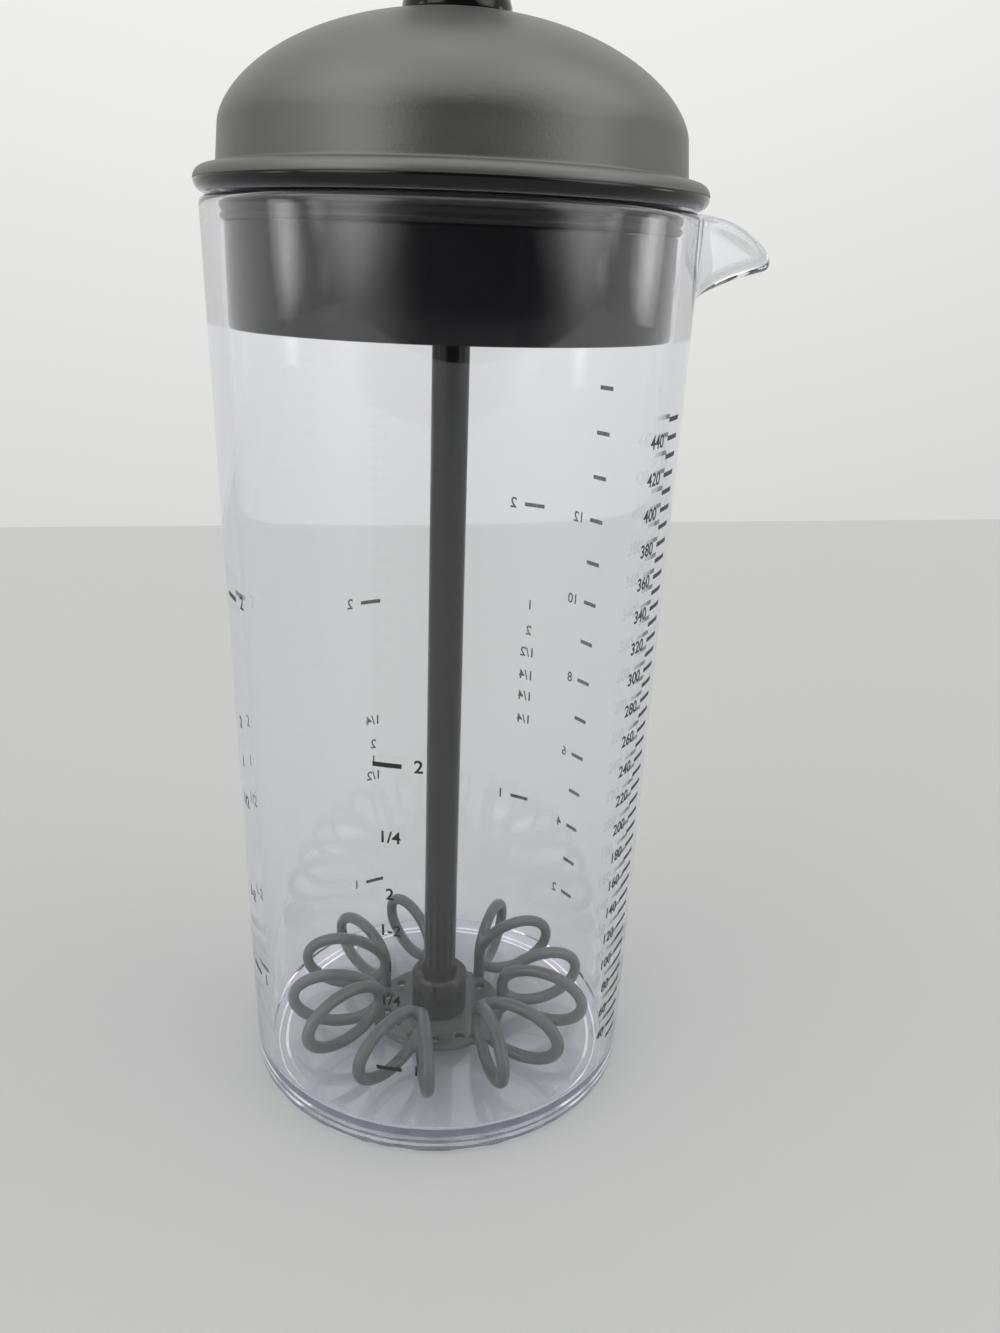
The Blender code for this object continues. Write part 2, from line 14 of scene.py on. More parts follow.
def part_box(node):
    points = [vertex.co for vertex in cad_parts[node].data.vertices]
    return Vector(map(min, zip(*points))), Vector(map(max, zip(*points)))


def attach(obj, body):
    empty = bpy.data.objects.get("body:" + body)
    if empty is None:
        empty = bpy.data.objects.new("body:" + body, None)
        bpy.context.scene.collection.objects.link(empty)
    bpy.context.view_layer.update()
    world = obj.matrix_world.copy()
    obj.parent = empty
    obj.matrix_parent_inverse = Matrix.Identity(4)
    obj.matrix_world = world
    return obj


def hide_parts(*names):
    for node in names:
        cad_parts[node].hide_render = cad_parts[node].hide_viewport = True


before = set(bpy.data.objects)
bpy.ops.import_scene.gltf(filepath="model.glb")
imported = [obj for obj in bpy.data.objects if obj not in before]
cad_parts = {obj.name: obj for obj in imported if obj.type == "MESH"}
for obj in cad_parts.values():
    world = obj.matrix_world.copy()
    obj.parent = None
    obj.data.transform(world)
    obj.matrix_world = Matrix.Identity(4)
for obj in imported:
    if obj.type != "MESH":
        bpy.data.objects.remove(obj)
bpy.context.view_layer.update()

# %% [markdown]
# Almost every piece of the bottle was turned or moulded round one axis. So the pieces share one
# recipe: a section is drawn as a ring of points, spun once round the axis, welded and shaded
# smooth. The sizes come from the nodes' own boxes where a box tells them.

# %% Heights and radii that the pieces share
MM = 0.001
JAR_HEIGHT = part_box("jar")[1].z
JAR_WALL = 2.6 * MM
JAR_BASE_RADIUS = 36.7 * MM
JAR_RIM_RADIUS = 39.8 * MM
JAR_FLOOR = 3.6 * MM
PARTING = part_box("lid_sleeve")[1].z
FLANGE_TOP = PARTING + 2.1 * MM
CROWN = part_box("lid_dome")[1].z
print("jar", round(JAR_HEIGHT / MM, 2), "mm tall, crown at", round(CROWN / MM, 2), "mm")


def heights(node):
    """The lowest and the highest point of a node, in mm."""
    low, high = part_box(node)
    return low.z / MM, high.z / MM


# %% Helpers that select and finish
def only(*pieces):
    """Deselects all, then selects these pieces and makes the last one active."""
    bpy.ops.object.select_all(action="DESELECT")
    for piece in pieces:
        piece.select_set(True)
        bpy.context.view_layer.objects.active = piece


def name_new(name):
    """Names the object that an operator has just added."""
    piece = bpy.context.active_object
    piece.name = piece.data.name = name
    return piece


def weld(piece, distance=0.000002):
    """Merges doubles, drops loose bits and turns every face outwards."""
    only(piece)
    bpy.ops.object.mode_set(mode="EDIT")
    bpy.ops.mesh.select_all(action="SELECT")
    bpy.ops.mesh.remove_doubles(threshold=distance)
    bpy.ops.mesh.dissolve_degenerate(threshold=distance)
    bpy.ops.mesh.select_all(action="SELECT")
    bpy.ops.mesh.delete_loose(use_verts=True, use_edges=True, use_faces=False)
    bpy.ops.mesh.select_all(action="SELECT")
    bpy.ops.mesh.normals_make_consistent(inside=False)
    bpy.ops.object.mode_set(mode="OBJECT")


def soften(piece, degrees=30):
    """Shades smooth, apart from edges sharper than this."""
    only(piece)
    bpy.ops.object.shade_smooth_by_angle(angle=math.radians(degrees))


def dress(piece, finish, body, slot, *stands_for):
    """Gives a finished piece its material and its body, and hides the nodes that it stands for. The slot is
    not used.
    """
    piece.data.materials.clear()
    piece.data.materials.append(finish)
    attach(piece, body)
    if stands_for:
        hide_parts(*stands_for)
    print(piece.name, "has", len(piece.data.polygons), "faces and rides on", body)


# %% Helpers that draw a section and turn it
def rounded(corners, closed=True):
    """Rounds a section. Each corner is (radius, height) or (radius, height, fillet), in mm."""
    section = []
    count = len(corners)
    for index, corner in enumerate(corners):
        here = Vector(corner[:2])
        fillet = corner[2] if len(corner) > 2 else 0.0
        if fillet == 0.0 or (not closed and index in (0, count - 1)):
            section.append(here)
            continue
        before = Vector(corners[index - 1][:2]) - here
        after = Vector(corners[(index + 1) % count][:2]) - here
        opening = before.angle(after)
        reach = min(fillet / math.tan(opening / 2), before.length * 0.48, after.length * 0.48)
        start = here + before.normalized() * reach
        end = here + after.normalized() * reach
        steps = max(2, round(fillet * 3) + 3)
        for step in range(steps + 1):
            share = step / steps
            section.append(start.lerp(here, share).lerp(here.lerp(end, share), share))
    return section


def arc(center_radius, center_height, radius, start, end, steps=10):
    """Points along part of a circle in the section, in mm and degrees from +R towards +Z."""
    turns = [math.radians(start + (end - start) * step / steps) for step in range(steps + 1)]
    return [
        Vector((center_radius + radius * math.cos(turn), center_height + radius * math.sin(turn)))
        for turn in turns
    ]


def turn(name, section, steps=160):
    """Turns a section, in mm, once round the Z axis, from a circle whose corners are moved onto it."""
    bpy.ops.object.select_all(action="DESELECT")
    bpy.ops.mesh.primitive_circle_add(vertices=len(section), radius=1.0, fill_type="NOTHING")
    piece = name_new(name)
    for vertex, (radius, height) in zip(piece.data.vertices, section):
        vertex.co = (max(radius, 0.0) * MM, 0.0, height * MM)
    bpy.ops.object.mode_set(mode="EDIT")
    bpy.ops.mesh.select_all(action="SELECT")
    bpy.ops.mesh.spin(steps=steps, angle=math.tau, center=(0, 0, 0), axis=(0, 0, 1))
    bpy.ops.object.mode_set(mode="OBJECT")
    weld(piece)
    soften(piece)
    return piece


# %% [markdown]
# A finish is more than a colour. Each material below starts from one Principled shader and adds
# what the real surface shows: fine moulded grain, slow changes of tone and faint rub marks. The
# patterns read Object coordinates, so they stay on the piece when it moves. Numbers that are the
# same all over sit on the shader's own sockets, where the export finds them.

# %% Helpers for materials
def new_material(name, color, roughness, **values):
    """A Principled material. Other sockets are given by name, with _ for a space."""
    made = bpy.data.materials.new(name)
    made.use_nodes = True
    shader = made.node_tree.nodes["Principled BSDF"]
    shader.inputs["Base Color"].default_value = (*color, 1.0)
    shader.inputs["Roughness"].default_value = roughness
    for socket, value in values.items():
        shader.inputs[socket.replace("_", " ")].default_value = value
    return made, made.node_tree, shader


def add_noise(tree, scale, detail=4.0, stretch=(1.0, 1.0, 1.0)):
    """Noise on the piece's own coordinates, in metres. Returns its factor output."""
    place = tree.nodes.new("ShaderNodeTexCoord")
    mapping = tree.nodes.new("ShaderNodeMapping")
    mapping.inputs["Scale"].default_value = stretch
    noise = tree.nodes.new("ShaderNodeTexNoise")
    noise.inputs["Scale"].default_value = scale
    noise.inputs["Detail"].default_value = detail
    tree.links.new(place.outputs["Object"], mapping.inputs["Vector"])
    tree.links.new(mapping.outputs["Vector"], noise.inputs["Vector"])
    return noise.outputs["Fac"]


def to_range(tree, factor, low, high, out_low, out_high):
    """Stretches part of a pattern to a new range."""
    ramp = tree.nodes.new("ShaderNodeMapRange")
    for socket, value in zip(("From Min", "From Max", "To Min", "To Max"), (low, high, out_low, out_high)):
        ramp.inputs[socket].default_value = value
    tree.links.new(factor, ramp.inputs["Value"])
    return ramp.outputs["Result"]


def add_bump(tree, shader, height, strength, distance):
    """Raises the surface by a pattern; distance is the real height in metres."""
    bump = tree.nodes.new("ShaderNodeBump")
    bump.inputs["Strength"].default_value = strength
    bump.inputs["Distance"].default_value = distance
    tree.links.new(height, bump.inputs["Height"])
    tree.links.new(bump.outputs["Normal"], shader.inputs["Normal"])


def two_tone(tree, shader, factor, dark, light):
    """Lets the base colour wander between two near tones."""
    mix = tree.nodes.new("ShaderNodeMix")
    mix.data_type = "RGBA"
    mix.inputs["A"].default_value = (*dark, 1.0)
    mix.inputs["B"].default_value = (*light, 1.0)
    tree.links.new(factor, mix.inputs["Factor"])
    tree.links.new(mix.outputs["Result"], shader.inputs["Base Color"])


def join_values(tree, operation, first, second):
    """One Math node on two values, each a socket or a number."""
    made = tree.nodes.new("ShaderNodeMath")
    made.operation = operation
    for socket, value in zip(made.inputs, (first, second)):
        if isinstance(value, (int, float)):
            socket.default_value = value
        else:
            tree.links.new(value, socket)
    return made.outputs["Value"]


# %% [markdown]
# The lid is moulded with a fine satin grain that scatters the light softly. Its lower half and the
# plunger are polished, so they mirror the room, and handling has left faint rub marks that only
# change how sharply they mirror.

# %% Dark plastics and rubber
def make_matte_lid():
    made, tree, shader = new_material("matte_lid_grain", (0.044, 0.045, 0.042), 0.4, Specular_IOR_Level=0.9)
    wander = add_noise(tree, 60.0, 3.0)
    tones = to_range(tree, wander, 0.35, 0.65, 0.0, 1.0)
    two_tone(tree, shader, tones, (0.038, 0.039, 0.037), (0.05, 0.051, 0.047))
    tree.links.new(to_range(tree, wander, 0.3, 0.7, 0.36, 0.44), shader.inputs["Roughness"])
    add_bump(tree, shader, add_noise(tree, 1600.0, 3.0), 0.35, 0.00007)
    return made


def make_gloss_black():
    made, tree, shader = new_material(
        "gloss_black_plastic", (0.005, 0.005, 0.006), 0.1, Specular_IOR_Level=0.3
    )
    rubs = add_noise(tree, 180.0, 6.0, (1.0, 1.0, 0.25))
    tree.links.new(to_range(tree, rubs, 0.45, 0.7, 0.07, 0.2), shader.inputs["Roughness"])
    add_bump(tree, shader, add_noise(tree, 55.0, 2.0), 0.08, 0.0003)
    return made


def make_whisk_plastic():
    made, tree, shader = new_material("whisk_grey_plastic", (0.045, 0.05, 0.048), 0.34)
    wander = add_noise(tree, 140.0, 3.0)
    tones = to_range(tree, wander, 0.35, 0.65, 0.0, 1.0)
    two_tone(tree, shader, tones, (0.039, 0.043, 0.042), (0.052, 0.058, 0.055))
    tree.links.new(to_range(tree, wander, 0.3, 0.7, 0.3, 0.42), shader.inputs["Roughness"])
    add_bump(tree, shader, add_noise(tree, 2600.0, 2.0), 0.12, 0.00003)
    return made


def make_rubber():
    made, tree, shader = new_material(
        "soft_black_rubber", (0.012, 0.012, 0.013), 0.32, Specular_IOR_Level=0.35
    )
    add_bump(tree, shader, add_noise(tree, 1800.0, 3.0), 0.15, 0.00003)
    return made


matte_lid = make_matte_lid()
gloss_black = make_gloss_black()
whisk_plastic = make_whisk_plastic()
rubber = make_rubber()
print("dark finishes:", matte_lid.name, gloss_black.name, whisk_plastic.name, rubber.name)

# %% [markdown]
# The jar is a clear moulded plastic. It bends light like thick acrylic, and where the eye looks
# along the wall, at the rim, the base and the lip, it turns faintly blue-violet, which an
# absorbing volume gives. Use has left hairline scratches, mostly up the wall. A refracting shell
# would cast a black shadow, so shadow rays go straight through it, and so do rays that the thick
# base has mirrored inside twice and would hold until they turn black.


# %% Clear plastic and ink
def let_rays_pass(tree, shader, tint):
    """Lets shadow rays, and rays that were mirrored inside twice, go straight on."""
    passing = tree.nodes.new("ShaderNodeBsdfTransparent")
    passing.inputs["Color"].default_value = (*tint, 1.0)
    path = tree.nodes.new("ShaderNodeLightPath")
    guided = join_values(tree, "GREATER_THAN", path.outputs["Glossy Depth"], 1.5)
    straight_on = join_values(tree, "MAXIMUM", guided, path.outputs["Is Shadow Ray"])
    mix = tree.nodes.new("ShaderNodeMixShader")
    tree.links.new(straight_on, mix.inputs["Fac"])
    tree.links.new(shader.outputs["BSDF"], mix.inputs[1])
    tree.links.new(passing.outputs["BSDF"], mix.inputs[2])
    tree.links.new(mix.outputs["Shader"], tree.nodes["Material Output"].inputs["Surface"])


def tint_depth(tree, color, density):
    """Tints the plastic where it is thick, by a volume that absorbs light."""
    depth = tree.nodes.new("ShaderNodeVolumeAbsorption")
    depth.inputs["Color"].default_value = (*color, 1.0)
    depth.inputs["Density"].default_value = density
    tree.links.new(depth.outputs["Volume"], tree.nodes["Material Output"].inputs["Volume"])


def make_clear_plastic():
    made, tree, shader = new_material(
        "clear_jar_plastic", (0.995, 0.996, 1.0), 0.015, IOR=1.5, Transmission_Weight=1.0
    )
    scratches = add_noise(tree, 700.0, 8.0, (1.0, 1.0, 0.06))
    tree.links.new(to_range(tree, scratches, 0.6, 0.72, 0.012, 0.09), shader.inputs["Roughness"])
    add_bump(tree, shader, add_noise(tree, 42.0, 2.0), 0.06, 0.0004)
    let_rays_pass(tree, shader, (0.93, 0.935, 0.95))
    tint_depth(tree, (0.62, 0.64, 0.9), 20.0)
    return made


def make_ink():
    made, tree, shader = new_material("black_print_ink", (0.012, 0.012, 0.013), 0.5)
    worn = add_noise(tree, 900.0, 4.0)
    tones = to_range(tree, worn, 0.55, 0.75, 0.0, 1.0)
    two_tone(tree, shader, tones, (0.01, 0.01, 0.011), (0.05, 0.05, 0.052))
    return made


clear_plastic = make_clear_plastic()
ink = make_ink()
print("clear finishes:", clear_plastic.name, ink.name)

# %% [markdown]
# The camera stands close in front, as high as the sleeve of the lid, and looks down, so the jar
# narrows strongly towards its base. Its place, turn and lens were worked out from the outlines and
# from the levels of the scale. The stage is a pale floor in a pale room. All light comes from the
# room itself: a bright ceiling, two soft windows left and right, narrow panes beside them that give
# upright streaks, and a dim place behind the camera, which makes the polished black parts look
# black. Where the camera looks straight at the room, or through the clear plastic, it sees plain
# pale walls.

# %% Camera
CAMERA_PLACE = Vector((-16.05, -191.94, 149.87)) * MM
CAMERA_PAN = math.radians(7.80)
CAMERA_TILT = 0.3499
CAMERA_ROLL = 0.0368
CAMERA_LENS = 39.84
camera_data = bpy.data.cameras.new("camera")
camera_data.sensor_fit = "HORIZONTAL"
camera_data.sensor_width = 36.0
camera_data.lens = CAMERA_LENS
camera_data.clip_start = 0.01
camera = bpy.data.objects.new("camera", camera_data)
bpy.context.scene.collection.objects.link(camera)
pan = Matrix.Rotation(-CAMERA_PAN, 4, "Z")
tilt = Matrix.Rotation(math.pi / 2 - CAMERA_TILT, 4, "X")
roll = Matrix.Rotation(CAMERA_ROLL, 4, "Z")
camera.matrix_world = Matrix.Translation(CAMERA_PLACE) @ pan @ tilt @ roll
bpy.context.scene.camera = camera
bpy.context.scene.view_settings.view_transform = "Standard"
print("camera at", [round(v, 4) for v in CAMERA_PLACE])

# %% Floor
FLOOR_FAR_LEFT = Vector((-0.2154, 0.4509, 0.0))
FLOOR_FAR_RIGHT = Vector((0.4119, 0.4912, 0.0))
FLOOR_DROP = 0.2 * MM


def add_floor(far_left, far_right, reach=1.6):
    """A flat floor whose far edge runs on through two points, and which comes on past the camera."""
    along = (far_right - far_left).normalized()
    toward = Vector((along.y, -along.x, 0.0))
    middle = (far_left + far_right) / 2 + toward * reach / 2
    bpy.ops.object.select_all(action="DESELECT")
    bpy.ops.mesh.primitive_plane_add(size=1.0, location=(middle.x, middle.y, -FLOOR_DROP))
    made = name_new("stage_floor")
    made.scale = (2.4 * reach, reach, 1.0)
    made.rotation_euler = (0.0, 0.0, math.atan2(along.y, along.x))
    bpy.ops.object.transform_apply(location=True, rotation=True, scale=True)
    return made


floor = add_floor(FLOOR_FAR_LEFT, FLOOR_FAR_RIGHT)
floor_finish, floor_tree, floor_shader = new_material("pale_floor", (0.37, 0.373, 0.37), 0.55)
add_bump(floor_tree, floor_shader, add_noise(floor_tree, 90.0, 4.0), 0.05, 0.0005)
floor.data.materials.append(floor_finish)
print("floor finished with", floor_finish.name)

# %% Room
world = bpy.data.worlds.new("pale_room")
bpy.context.scene.world = world
world.use_nodes = True
room = world.node_tree
ray = room.nodes.new("ShaderNodeTexCoord").outputs["Generated"]


def patch(azimuth, elevation, edge, core):
    """A soft-edged patch of the room: 1 within core degrees of a direction, 0 beyond edge degrees."""
    turn_by, rise = math.radians(azimuth), math.radians(elevation)
    dot = room.nodes.new("ShaderNodeVectorMath")
    dot.operation = "DOT_PRODUCT"
    room.links.new(ray, dot.inputs[0])
    level = math.cos(rise)
    dot.inputs[1].default_value = (math.cos(turn_by) * level, math.sin(turn_by) * level, math.sin(rise))
    ramp = room.nodes.new("ShaderNodeMapRange")
    ramp.interpolation_type = "SMOOTHSTEP"
    ramp.inputs["From Min"].default_value = math.cos(math.radians(edge))
    ramp.inputs["From Max"].default_value = math.cos(math.radians(core))
    room.links.new(dot.outputs["Value"], ramp.inputs["Value"])
    return ramp.outputs["Result"]


WALL_LIGHT = 0.68
# Each patch: azimuth, elevation, edge and core in degrees, then its strength.
DIM_PLACE = (-82, 8, 56, 24, 0.94)
FAR_WALL = (90, 50, 70, 30, 0.2)
WINDOWS = [(-140, 20, 26, 6, 2.6), (-34, 20, 26, 6, 2.4)]
NARROW_PANES = [(-174, 3, 9, 3, 2.4), (-156, 3, 5, 1, 1.6), (-20, 3, 5, 1, 1.6), (6, 3, 9, 3, 2.4)]
CEILING = [(-110, 80, 50, 16, 1.0), (-165, 48, 28, 8, 1.5), (-5, 48, 28, 8, 1.5)]


def patch_light(azimuth, elevation, edge, core, strength):
    """A patch at its own strength."""
    return join_values(room, "MULTIPLY", patch(azimuth, elevation, edge, core), strength)


shade = join_values(room, "SUBTRACT", 1.0, patch_light(*DIM_PLACE))
light = join_values(room, "MULTIPLY", shade, WALL_LIGHT)
for values in WINDOWS + NARROW_PANES + [FAR_WALL] + CEILING:
    light = join_values(room, "ADD", light, patch_light(*values))
path = room.nodes.new("ShaderNodeLightPath")
unmirrored = join_values(room, "LESS_THAN", path.outputs["Glossy Depth"], 0.5)
through = join_values(room, "MULTIPLY", path.outputs["Is Transmission Ray"], unmirrored)
seen = join_values(room, "MAXIMUM", path.outputs["Is Camera Ray"], through)
plain_walls = join_values(room, "ADD", WALL_LIGHT, patch_light(*FAR_WALL))
unseen_light = join_values(room, "MULTIPLY", light, join_values(room, "SUBTRACT", 1.0, seen))
light = join_values(room, "ADD", unseen_light, join_values(room, "MULTIPLY", plain_walls, seen))
sky = room.nodes["Background"]
sky.inputs["Color"].default_value = (1.0, 1.0, 0.98, 1.0)
room.links.new(light, sky.inputs["Strength"])
print("a pale room with two side windows, a bright ceiling and a dim place behind the camera")

# %% [markdown]
# The jar's wall is a cup with a thick flat base. Its section runs from the middle of the underside,
# down two shallow steps to the ring it stands on, up the tapered outside, over the rounded rim and
# down the bore. The steps are what shows through the base as fine rings. The wall is spun finely,
# because a clear wall shows every facet. The pouring lip is not turned: it was drawn out of the
# rim, so the points near the rim are then carried outwards and down by a smooth law.


# %% The law of the drawn lip
LIP_REACH = 13.7 * MM
LIP_DROP = 5.6 * MM
LIP_START = JAR_HEIGHT - 15.5 * MM
LIP_HALF_ANGLE = math.radians(19.0)
LIP_REACH_POWER, LIP_DROP_POWER = 2.3, 2.2
TAPER = (JAR_RIM_RADIUS - JAR_BASE_RADIUS) / JAR_HEIGHT
print("lip drawn", round(LIP_REACH / MM, 1), "mm out and", round(LIP_DROP / MM, 1), "mm down")


def outer_radius(height):
    """The radius of the tapered outside at a height."""
    return JAR_BASE_RADIUS + TAPER * height


def wall_middle(angle, share):
    """A point on the middle of the wall, from the lip's start (0) to the rim (1)."""
    drawn = 0.0
    if abs(angle) < LIP_HALF_ANGLE:
        drawn = math.cos(math.pi / 2 * angle / LIP_HALF_ANGLE) ** 2
    top = JAR_HEIGHT - JAR_WALL / 2 - LIP_DROP * drawn**LIP_DROP_POWER
    height = LIP_START + (top - LIP_START) * share
    reach = LIP_REACH * drawn * max(share, 0.0) ** LIP_REACH_POWER
    radius = outer_radius(height) - JAR_WALL / 2 + reach
    return Vector((radius * math.cos(angle), radius * math.sin(angle), height))


def wall_directions(angle, share):
    """The outward and the upward direction of the wall's middle."""
    small = 0.002
    around = (wall_middle(angle + small, share) - wall_middle(angle - small, share)).normalized()
    upward = wall_middle(angle, share + small) - wall_middle(angle, share - small)
    outward = around.cross(upward).normalized()
    return outward, outward.cross(around)


def drawn_out(point):
    """Where a point of the plain turned jar lies once the lip is drawn."""
    angle = math.atan2(point.y, point.x)
    if point.z < LIP_START or abs(angle) > LIP_HALF_ANGLE:
        return point
    rim_center = JAR_HEIGHT - JAR_WALL / 2
    level = min(point.z, rim_center)
    across = math.hypot(point.x, point.y) - (outer_radius(level) - JAR_WALL / 2)
    share = (level - LIP_START) / (rim_center - LIP_START)
    outward, upward = wall_directions(angle, share)
    return wall_middle(angle, share) + outward * across + upward * max(point.z - rim_center, 0.0)


# %% The jar
def jar_section():
    """The jar's section in mm, from the middle of the underside round to the middle of the floor."""
    wall, floor_top, fillet = JAR_WALL / MM, JAR_FLOOR / MM, 1.5
    height, start = JAR_HEIGHT / MM, LIP_START / MM
    edge, step_up = 1.2, 0.45

    def outside(level):
        return outer_radius(level * MM) / MM

    foot = outside(edge) - edge
    section = rounded(
        [
            (0, 2 * step_up), (foot - 4.6, 2 * step_up, 0.2), (foot - 4.0, step_up, 0.2),
            (foot - 2.8, step_up, 0.2), (foot - 2.2, 0, 0.2), (foot, 0),
        ],
        closed=False,
    )
    section += arc(foot, edge, edge, -90, 0, 14)[1:]
    levels = [start * step / 12 for step in range(1, 13)]
    levels += [start + (height - wall / 2 - start) * step / 26 for step in range(1, 27)]
    section += [Vector((outside(level), level)) for level in levels]
    section += arc(outside(height - wall / 2) - wall / 2, height - wall / 2, wall / 2, 0, 180, 14)[1:-1]
    bore_levels = [level for level in reversed(levels) if level > floor_top + fillet]
    section += [Vector((outside(level) - wall, level)) for level in bore_levels]
    section += arc(outside(floor_top + fillet) - wall - fillet, floor_top + fillet, fillet, 0, -90, 12)
    section.append(Vector((0, floor_top)))
    return section


jar = turn("jar_clear_body", jar_section(), 300)
for vertex in jar.data.vertices:
    vertex.co = drawn_out(vertex.co)
soften(jar, 40)
dress(jar, clear_plastic, "jar", "clear_jar", "jar")

# %% [markdown]
# The dome is a soft bell with a short upright skirt, and a thin flange rolls out below it. The
# photograph shows a small hollow fillet where the bell meets the flange, and a flat seat on top for
# the knob. The lid is an open shell, so the section goes back down inside it to the spigot.


# %% The dome
FLANGE_RADIUS, FLANGE_ROLL = 40.5, 1.95
SEAM_INNER, SEAM_OUTER = 38.0, 40.44


def dome_curve(inset):
    """The bell's curve in mm from its skirt to its crown, moved in by an inset."""
    shelf, skirt, bell = 4.0, 5.8, 17.1
    power_across, power_up = 2 / 2.1, 2 / 1.67
    radius, spring = FLANGE_RADIUS - shelf - inset, FLANGE_TOP / MM + skirt
    points = []
    for step in range(41):
        turn_by = math.pi / 2 * step / 40
        across = radius * max(math.cos(turn_by), 0.0) ** power_across
        points.append(Vector((across, spring + (bell - inset) * math.sin(turn_by) ** power_up)))
    return points


def dome_section():
    """The dome's section in mm: rolled flange, bell, seat for the knob, and the spigot inside."""
    seat_radius, seat, hole = 9.2, CROWN / MM, 5.3
    shell, spigot_bore, spigot_out, spigot_low = 2.0, 31.9, 33.65, 156.35
    parting, top = PARTING / MM + 0.17, FLANGE_TOP / MM
    section = [Vector((SEAM_INNER, parting)), Vector((SEAM_OUTER, parting))]
    section += arc(FLANGE_RADIUS - FLANGE_ROLL, top - FLANGE_ROLL, FLANGE_ROLL, 5, 90, 10)
    section += rounded([(38.4, top), (37.0, top, 0.9), (36.9, top + 3)], closed=False)[1:-1]
    outer = [point for point in dome_curve(0.0) if point.x > seat_radius + 0.2]
    section += outer
    seat_corners = [outer[-1][:], (seat_radius, seat, 0.4), (hole, seat, 0.3), (hole, seat - shell)]
    section += rounded(seat_corners, closed=False)[1:]
    inner = reversed(dome_curve(shell))
    section += [point for point in inner if point.x > seat_radius and point.y < seat - shell]
    spigot = [
        (35.0, top), (spigot_bore, top - FLANGE_ROLL), (spigot_bore, spigot_low),
        (spigot_out - 0.35, spigot_low), (spigot_out, spigot_low + 0.4), (spigot_out, parting),
    ]
    section += [Vector(point) for point in spigot]
    return section


dome = turn("lid_dome_bell", dome_section(), 220)
dress(dome, matte_lid, "lid", "matte_lid", "lid_dome")
dome_high = max(vertex.co.z for vertex in dome.data.vertices)
print("dome reaches", round(dome_high / MM, 2), "mm; node", round(CROWN / MM, 2))

# %% [markdown]
# The lower moulding closes the jar. It carries the glossy lower half of the flange, a deep sleeve
# with a groove for the seal ring, and inside it a deck with a boss that guides the rod. One window
# in the sleeve lets the liquid out when the lid is turned, and it is cut with a block.

# %% The sleeve
ROD_BORE = 3.5
PORT_PLACE = Vector((0.0, 35.0, 143.0)) * MM
PORT_SIZE = Vector((22.0, 10.0, 11.6)) * MM


def sleeve_section():
    """The sleeve's section in mm: flange, groove for the ring, skirt, deck and guide boss."""
    top, under = PARTING / MM + 0.12, JAR_HEIGHT / MM + 0.3
    outside, bore, low = 36.14, 33.94, heights("lid_sleeve")[0]
    groove, groove_low, groove_high = 34.98, 154.15, 157.25
    deck, boss, pocket = 149.4, 8.2, 6.5
    section = [Vector((bore, top)), Vector((SEAM_INNER, top)), Vector((SEAM_OUTER, top))]
    section += arc(FLANGE_RADIUS - FLANGE_ROLL, under + FLANGE_ROLL, FLANGE_ROLL, -5, -90, 10)
    section += rounded(
        [
            (38.5, under), (outside, under, 0.2), (outside, groove_high, 0.1), (groove, groove_high),
            (groove, groove_low), (outside, groove_low, 0.1), (outside, low, 0.4), (bore, low, 0.4),
            (bore, deck, 0.5), (boss, deck, 0.5), (boss - 0.4, deck - 3.4, 0.3), (ROD_BORE, deck - 3.4, 0.2),
            (ROD_BORE, deck + 0.6), (pocket, deck + 0.6), (pocket, deck + 4.6), (boss - 0.4, deck + 4.6, 0.3),
            (boss, deck + 2.0, 0.4), (bore, deck + 2.0, 0.4), (bore, top),
        ],
        closed=False,
    )[1:-1]
    return section


sleeve = turn("lid_sleeve_plug", sleeve_section(), 220)
bpy.ops.object.select_all(action="DESELECT")
bpy.ops.mesh.primitive_cube_add(size=1.0, location=PORT_PLACE)
window = name_new("sleeve_window")
window.scale = PORT_SIZE
bpy.ops.object.transform_apply(location=True, rotation=True, scale=True)
only(sleeve)
cut = sleeve.modifiers.new("window", "BOOLEAN")
cut.object = window
cut.operation = "DIFFERENCE"
cut.solver = "EXACT"
bpy.ops.object.modifier_apply(modifier=cut.name)
bpy.data.objects.remove(window)
soften(sleeve)
dress(sleeve, gloss_black, "lid", "gloss_black", "lid_sleeve")

# %% [markdown]
# The two rubber rings are small but they show: one as a dark line just under the rim, the other as
# a collar round the rod. Both are turned from sections with soft edges, and so is the bush with a
# collar that guides the rod through the crown. One bore serves them all.

# %% Seal rings and bush
seal_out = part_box("lid_seal")[1].x / MM
seal_low, seal_high = heights("lid_seal")
seal_middle = (seal_low + seal_high) / 2
upper_lip, lower_lip = (seal_high + seal_middle) / 2, (seal_low + seal_middle) / 2
seal_back, seal_waist, seal_edge = seal_out - 1.55, seal_out - 0.5, seal_out - 0.03
seal = turn("lid_seal_ring", rounded([
    (seal_back, seal_high, 0.2), (seal_waist, seal_high, 0.2), (seal_edge, upper_lip, 0.3),
    (seal_waist, seal_middle, 0.1), (seal_edge, lower_lip, 0.3), (seal_waist, seal_low, 0.2),
    (seal_back, seal_low, 0.2),
]), 160)
dress(seal, rubber, "lid_seal", "seal_rubber", "lid_seal")
ring_low, ring_high = heights("rod_seal")
ring_out = 6.2
rod_ring = turn("rod_seal_ring", rounded([
    (ROD_BORE, ring_high, 0.4), (ring_out, ring_high, 0.5),
    (ring_out, ring_low, 0.3), (ROD_BORE, ring_low, 0.3),
]), 72)
dress(rod_ring, rubber, "rod_seal", "seal_rubber", "rod_seal")
bush_low, bush_high = heights("rod_bush")
collar, neck, collar_high = 7.2, 5.0, bush_low + 1.2
